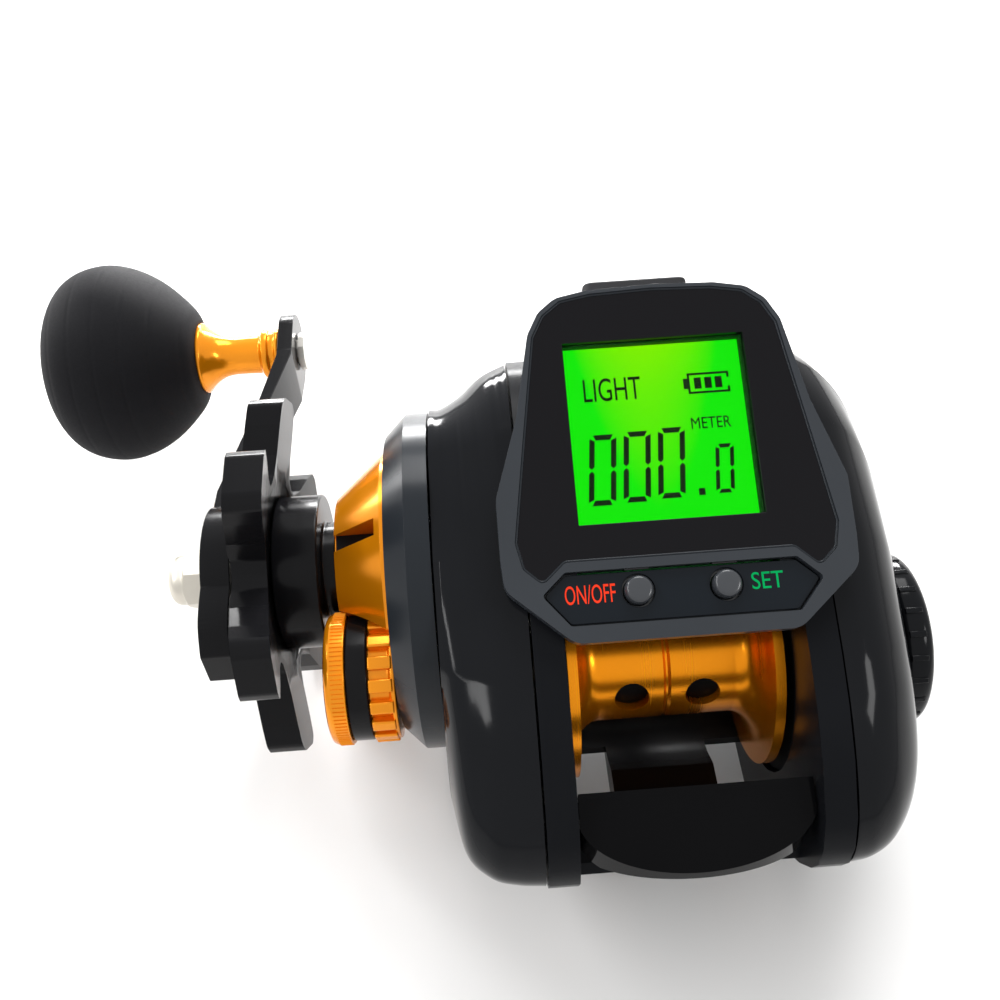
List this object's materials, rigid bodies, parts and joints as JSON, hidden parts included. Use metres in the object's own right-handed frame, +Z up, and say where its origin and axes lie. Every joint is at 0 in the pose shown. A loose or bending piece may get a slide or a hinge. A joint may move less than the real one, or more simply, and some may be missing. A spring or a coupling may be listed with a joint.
{
  "type": "trolling reel",
  "caption": "Low-profile trolling reel with a tilted digital line counter, side crank with a ball knob, star drag, ported spool and a level-wind line guide.",
  "frame": {"origin": "on the underside of the reel foot, straight below the spool axis", "axes": "+X along the spool axis towards the palm side, so the crank is at -X; +Y forward, away from the angler, the way the line leaves; +Z up, away from the rod"},
  "size_m": [0.1356, 0.1203, 0.0705],
  "materials": {
    "gloss_shell": "gloss moulded",
    "bezel": "semi-gloss moulded",
    "cap": "semi-gloss moulded",
    "orange_alloy": "anodised, polished",
    "black_alloy": "anodised, polished",
    "grip": "matte",
    "steel": "polished",
    "brass": "machined",
    "carbon": "woven",
    "nylon": "matte",
    "hard_ring": "hard polished",
    "screen_glass": "clear window with a black border",
    "lcd": "back-lit",
    "board": "coated",
    "cell": "wrapped",
    "button": "satin"
  },
  "bodies": {
    "reel_body": {"frame": "gloss_shell", "reel_foot": "black_alloy", "foot_screw_1": "steel", "foot_screw_2": "steel", "gear_side_cover": "gloss_shell", "gearbox_cap": "cap", "gear_cover_screw_1": "steel", "gear_cover_screw_2": "steel", "palm_side_cover": "gloss_shell", "palm_cover_screw": "steel", "guide_rod": "steel", "brake_plate": "gloss_shell", "counter_sensor": "nylon", "spool_bearing_left": "steel", "spool_bearing_right": "steel", "pinion_bearing": "steel", "drive_bushing_cone": "orange_alloy", "anti_reverse_bearing": "steel", "drive_shaft_bearing": "steel", "display_housing": "bezel", "display_glass": "screen_glass", "lcd_panel": "lcd", "button_panel": "gloss_shell", "circuit_board": "board", "battery": "cell", "charge_jack": "nylon"},
    "crank": {"drive_shaft": "steel", "drive_gear": "brass", "drag_washer_carbon": "carbon", "drag_washer_steel": "steel", "level_wind_drive_gear": "nylon", "handle_arm": "black_alloy", "nut_retainer": "black_alloy", "handle_nut": "steel", "knob_spindle": "steel"},
    "knob": {"knob_neck": "orange_alloy", "handle_knob": "grip"},
    "star_wheel": {"star_drag": "black_alloy", "drag_collar": "black_alloy"},
    "spool_unit": {"spool": "orange_alloy", "spool_shaft": "steel", "counter_magnet": "steel"},
    "clutch_slider": {"clutch_yoke": "nylon"},
    "pinion": {"pinion_gear": "brass"},
    "clutch_ring": {"clutch_cam": "steel"},
    "clutch_bar": {"thumb_bar": "gloss_shell"},
    "worm": {"worm_shaft": "steel", "worm_gear": "nylon"},
    "guide": {"line_guide": "gloss_shell", "line_guide_insert": "hard_ring", "guide_pawl": "brass"},
    "tension_knob": {"tension_ring": "orange_alloy", "tension_body": "black_alloy", "tension_cap": "orange_alloy"},
    "dial": {"brake_dial": "gloss_shell"},
    "magnets": {"magnet_carrier": "steel"},
    "power_button": {"on_off_button": "button"},
    "set_key": {"set_button": "button"},
    "inlet_cover": {"charge_port_cover": "grip"}
  },
  "joints": [
    {"name": "handle_crank", "type": "hinge", "parent": "reel_body", "child": "crank", "pos_m": [-0.06, 0.017, 0.0234], "axis": [1, 0, 0], "continuous": true},
    {"name": "knob_spin", "type": "hinge", "parent": "crank", "child": "knob", "pos_m": [-0.08, 0.06955, 0.02113], "axis": [1, 0, 0], "continuous": true},
    {"name": "star_turn", "type": "hinge", "parent": "crank", "child": "star_wheel", "pos_m": [-0.058, 0.017, 0.0234], "axis": [1, 0, 0], "range_deg": [-180, 180]},
    {"name": "spool_spin", "type": "hinge", "parent": "reel_body", "child": "spool_unit", "pos_m": [0, 0, 0.02], "axis": [1, 0, 0], "continuous": true},
    {"name": "thumb_bar_press", "type": "slide", "parent": "reel_body", "child": "clutch_bar", "axis": [0, 0, -1], "range_m": [0, 0.0042]},
    {"name": "clutch_cam_turn", "type": "hinge", "parent": "reel_body", "child": "clutch_ring", "pos_m": [-0.02, 0, 0.02], "axis": [1, 0, 0], "range_deg": [0, 9.5]},
    {"name": "clutch_yoke_slide", "type": "slide", "parent": "reel_body", "child": "clutch_slider", "axis": [-1, 0, 0], "range_m": [0, 0.0018]},
    {"name": "pinion_spin", "type": "hinge", "parent": "clutch_slider", "child": "pinion", "pos_m": [-0.025, 0, 0.02], "axis": [1, 0, 0], "continuous": true},
    {"name": "worm_spin", "type": "hinge", "parent": "reel_body", "child": "worm", "pos_m": [0, 0.0285, 0.016], "axis": [1, 0, 0], "continuous": true},
    {"name": "line_guide_travel", "type": "slide", "parent": "reel_body", "child": "guide", "axis": [1, 0, 0], "range_m": [-0.009, 0.009]},
    {"name": "cast_control_turn", "type": "hinge", "parent": "reel_body", "child": "tension_knob", "pos_m": [-0.04, 0, 0.02], "axis": [1, 0, 0], "range_deg": [-180, 180]},
    {"name": "brake_dial_turn", "type": "hinge", "parent": "reel_body", "child": "dial", "pos_m": [0.033, 0, 0.02], "axis": [1, 0, 0], "range_deg": [0, 270]},
    {"name": "magnet_travel", "type": "slide", "parent": "reel_body", "child": "magnets", "axis": [-1, 0, 0], "range_m": [0, 0.001]},
    {"name": "power_button_press", "type": "slide", "parent": "reel_body", "child": "power_button", "axis": [0, 0.4493, -0.8934], "range_m": [0, 0.0008], "stiffness_N_per_m": 400},
    {"name": "set_button_press", "type": "slide", "parent": "reel_body", "child": "set_key", "axis": [0, 0.4493, -0.8934], "range_m": [0, 0.0008], "stiffness_N_per_m": 400},
    {"name": "inlet_cover_swing", "type": "hinge", "parent": "reel_body", "child": "inlet_cover", "pos_m": [0, 0.03422, 0.05449], "axis": [-1, 0, 0], "range_deg": [0, 100]}
  ],
  "couplings": [
    {"joint": "spool_spin", "follows": "handle_crank", "ratio": -6.3},
    {"joint": "pinion_spin", "follows": "handle_crank", "ratio": -6.3},
    {"joint": "worm_spin", "follows": "handle_crank", "ratio": -1.7143},
    {"joint": "clutch_cam_turn", "follows": "thumb_bar_press", "rad_per_m": 38.9},
    {"joint": "clutch_yoke_slide", "follows": "thumb_bar_press", "ratio": 0.42857},
    {"joint": "brake_dial_turn", "follows": "magnet_travel", "rad_per_m": 4712}
  ]
}
